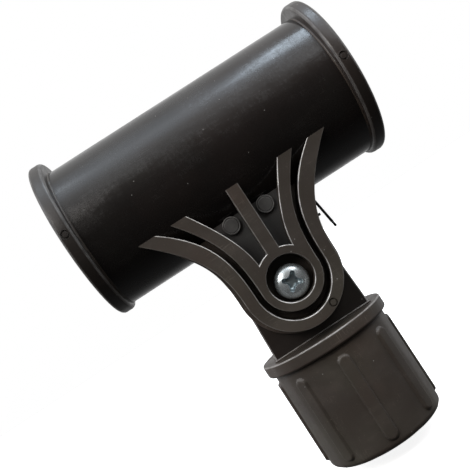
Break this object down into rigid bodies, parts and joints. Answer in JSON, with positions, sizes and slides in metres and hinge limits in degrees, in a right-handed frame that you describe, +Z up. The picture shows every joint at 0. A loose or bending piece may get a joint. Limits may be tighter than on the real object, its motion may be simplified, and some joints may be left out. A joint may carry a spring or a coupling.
{
  "type": "umbrella swivel bracket",
  "caption": "Swivel bracket: a flanged sleeve slides on a round pole, and a ribbed tube plug tilts between two ribbed cheeks below it on one cross-head screw.",
  "frame": {"origin": "middle of the sleeve's bore, on its axis", "axes": "+X along the sleeve's bore, Y along the pivot screw with its head at -Y, +Z up, the plug hangs along -Z"},
  "size_m": [0.112, 0.0614, 0.1477],
  "materials": {
    "bronze_plastic": "moulded nylon in dark bronze, satin to glossy",
    "zinc_steel": "bright zinc plate",
    "bush_steel": "turned steel",
    "white_nylon": "natural nylon",
    "black_nylon": "black nylon",
    "spring_wire": "blackened spring wire"
  },
  "bodies": {
    "bracket": {"sleeve_bracket": "bronze_plastic", "pivot_screw": "zinc_steel", "head_washer": "zinc_steel", "lock_nut": "zinc_steel", "nut_nylon_ring": "white_nylon", "pivot_bush": "bush_steel", "wire_clip": "spring_wire"},
    "arm": {"plug_arm": "bronze_plastic", "friction_washer_front": "black_nylon", "friction_washer_rear": "black_nylon"}
  },
  "joints": [
    {"name": "plug_tilt", "type": "hinge", "parent": "bracket", "child": "arm", "pos_m": [0, 0, -0.0511], "axis": [0, 1, 0], "range_deg": [-70, 70]}
  ]
}
